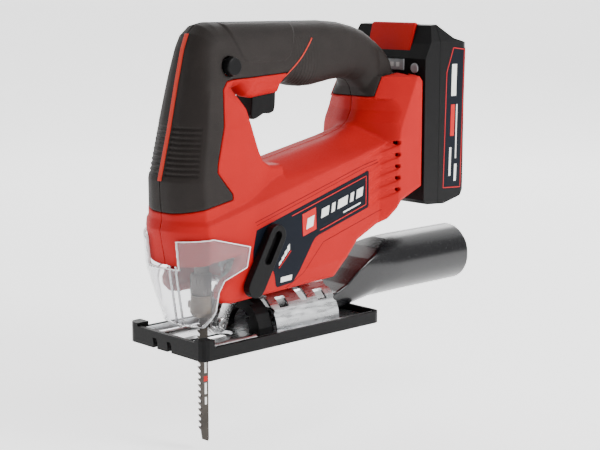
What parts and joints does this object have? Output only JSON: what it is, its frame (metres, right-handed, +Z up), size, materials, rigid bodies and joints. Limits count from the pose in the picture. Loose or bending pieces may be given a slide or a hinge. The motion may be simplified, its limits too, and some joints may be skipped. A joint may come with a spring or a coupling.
{
  "type": "cordless jigsaw",
  "caption": "Cordless jigsaw with closed handle, slide-on battery, orbital lever, clear chip guard, tilting steel base with slide-on shoe, dust pipe and blade.",
  "frame": {"origin": "middle of the sole, the underside of the slide-on shoe", "axes": "+Z up along the blade, -X the cutting direction (the blade end is the front), -Y the saw's left side with the orbital lever"},
  "size_m": [0.2693, 0.076, 0.27],
  "materials": {
    "black_grip": "matt soft grip",
    "black_plastic": "fine matt moulded",
    "black_wire": "insulation",
    "brass": "plain",
    "bright_steel": "ground",
    "cast_aluminium": "as cast",
    "cell_wrap": "shrink wrap",
    "clear_plastic": "clear polycarbonate",
    "dark_steel": "dark oxide",
    "green_board": "solder mask",
    "red_plastic": "satin moulded",
    "red_wire": "insulation",
    "zinc_steel": "zinc-plated"
  },
  "bodies": {
    "base": {"slide_shoe": "black_plastic", "base_plate": "zinc_steel", "bevel_bracket": "zinc_steel", "foot_frame": "black_plastic"},
    "housing": {"housing_left": "red_plastic", "housing_right": "red_plastic", "grip_left": "black_grip", "grip_right": "black_grip", "wire_guard": "bright_steel", "motor_can": "dark_steel", "motor_end_cap": "black_plastic", "gearbox_frame": "cast_aluminium", "fork_pivot_pin": "bright_steel", "lower_bush_block": "cast_aluminium", "upper_bush_block": "cast_aluminium", "counterweight_rod": "bright_steel", "switch_module": "black_plastic", "speed_board": "green_board", "wire_red": "red_wire", "wire_black": "black_wire", "bevel_clamp_washer": "zinc_steel", "terminal_block": "brass", "housing_screw_1": "dark_steel", "housing_screw_2": "dark_steel", "housing_screw_3": "dark_steel", "housing_screw_4": "dark_steel", "housing_screw_5": "dark_steel", "housing_screw_6": "dark_steel"},
    "chip_guard": {"chip_guard": "clear_plastic"},
    "orbital_lever": {"orbital_lever": "black_plastic", "orbital_cam_shaft": "bright_steel"},
    "roller_fork": {"roller_fork": "bright_steel", "roller_screw": "bright_steel"},
    "guide_roller": {"guide_roller": "bright_steel"},
    "motor_rotor": {"motor_shaft": "bright_steel", "motor_armature": "dark_steel", "motor_pinion": "dark_steel", "cooling_fan": "black_plastic"},
    "drive_gear": {"drive_gear": "dark_steel"},
    "plunger": {"plunger": "bright_steel", "scotch_yoke": "dark_steel", "clamp_holder": "dark_steel", "blade": "dark_steel"},
    "blade_clamp": {"blade_clamp": "dark_steel"},
    "counterweight": {"counterweight": "dark_steel"},
    "trigger": {"trigger": "black_plastic"},
    "lock_button": {"lock_button": "black_plastic"},
    "clamp_screw": {"bevel_clamp_screw": "dark_steel"},
    "dust_pipe": {"dust_pipe": "black_plastic"},
    "battery": {"battery_case_front": "black_plastic", "battery_case_rear": "black_plastic", "charge_panel": "cast_aluminium", "battery_cell_1": "cell_wrap", "battery_cell_2": "cell_wrap", "battery_cell_3": "cell_wrap", "battery_cell_4": "cell_wrap", "battery_cell_5": "cell_wrap"},
    "battery_release": {"battery_release_button": "red_plastic"},
    "charge_button": {"charge_button": "cast_aluminium"}
  },
  "joints": [
    {"name": "bevel_tilt", "type": "hinge", "parent": "base", "child": "housing", "pos_m": [0, 0, 0.003], "axis": [1, 0, 0], "range_deg": [-15, 15]},
    {"name": "guard_slide", "type": "slide", "parent": "housing", "child": "chip_guard", "axis": [-1, 0, 0], "range_m": [0, 0.04]},
    {"name": "orbital_lever_turn", "type": "hinge", "parent": "housing", "child": "orbital_lever", "pos_m": [-0.033, 0, 0.04], "axis": [0, 1, 0], "range_deg": [0, 75]},
    {"name": "orbital_swing", "type": "hinge", "parent": "housing", "child": "roller_fork", "pos_m": [-0.02, 0, 0.046], "axis": [0, 1, 0], "range_deg": [-3, 0], "stiffness_Nm_per_rad": 2, "springref_deg": 1.72},
    {"name": "guide_roller_spin", "type": "hinge", "parent": "roller_fork", "child": "guide_roller", "pos_m": [-0.0363, 0, 0.0125], "axis": [0, 1, 0], "continuous": true},
    {"name": "motor_spin", "type": "hinge", "parent": "housing", "child": "motor_rotor", "pos_m": [0, 0, 0.068], "axis": [1, 0, 0], "continuous": true},
    {"name": "drive_gear_spin", "type": "hinge", "parent": "housing", "child": "drive_gear", "pos_m": [-0.026, 0, 0.092], "axis": [1, 0, 0], "continuous": true},
    {"name": "plunger_stroke", "type": "slide", "parent": "housing", "child": "plunger", "axis": [0, 0, 1], "range_m": [0, 0.02]},
    {"name": "blade_clamp_turn", "type": "hinge", "parent": "plunger", "child": "blade_clamp", "pos_m": [-0.0475, 0, 0.025], "axis": [0, 0, 1], "range_deg": [0, 60], "stiffness_Nm_per_rad": 0.05, "springref_deg": -20.05},
    {"name": "counterweight_slide", "type": "slide", "parent": "housing", "child": "counterweight", "axis": [0, 0, 1], "range_m": [-0.02, 0]},
    {"name": "trigger_press", "type": "slide", "parent": "housing", "child": "trigger", "axis": [0, 0, 1], "range_m": [0, 0.005], "stiffness_N_per_m": 500, "springref_m": -0.004},
    {"name": "lock_button_press", "type": "slide", "parent": "housing", "child": "lock_button", "axis": [0, 1, 0], "range_m": [0, 0.003], "stiffness_N_per_m": 400, "springref_m": -0.002},
    {"name": "clamp_screw_turn", "type": "hinge", "parent": "housing", "child": "clamp_screw", "pos_m": [0.022, 0, 0.03], "axis": [0, 0, 1], "range_deg": [0, 180]},
    {"name": "dust_pipe_slide", "type": "slide", "parent": "base", "child": "dust_pipe", "axis": [1, 0, 0], "range_m": [0, 0.06]},
    {"name": "battery_slide", "type": "slide", "parent": "housing", "child": "battery", "axis": [0, 0, 1], "range_m": [0, 0.1]},
    {"name": "battery_release_press", "type": "slide", "parent": "battery", "child": "battery_release", "axis": [1, 0, 0], "range_m": [0, 0.002], "stiffness_N_per_m": 600, "springref_m": -0.002},
    {"name": "charge_button_press", "type": "slide", "parent": "battery", "child": "charge_button", "axis": [1, 0, 0], "range_m": [0, 0.001], "stiffness_N_per_m": 300, "springref_m": -0.002}
  ],
  "couplings": [
    {"joint": "drive_gear_spin", "follows": "motor_spin", "ratio": -0.2},
    {"joint": "counterweight_slide", "follows": "plunger_stroke", "ratio": -1}
  ]
}
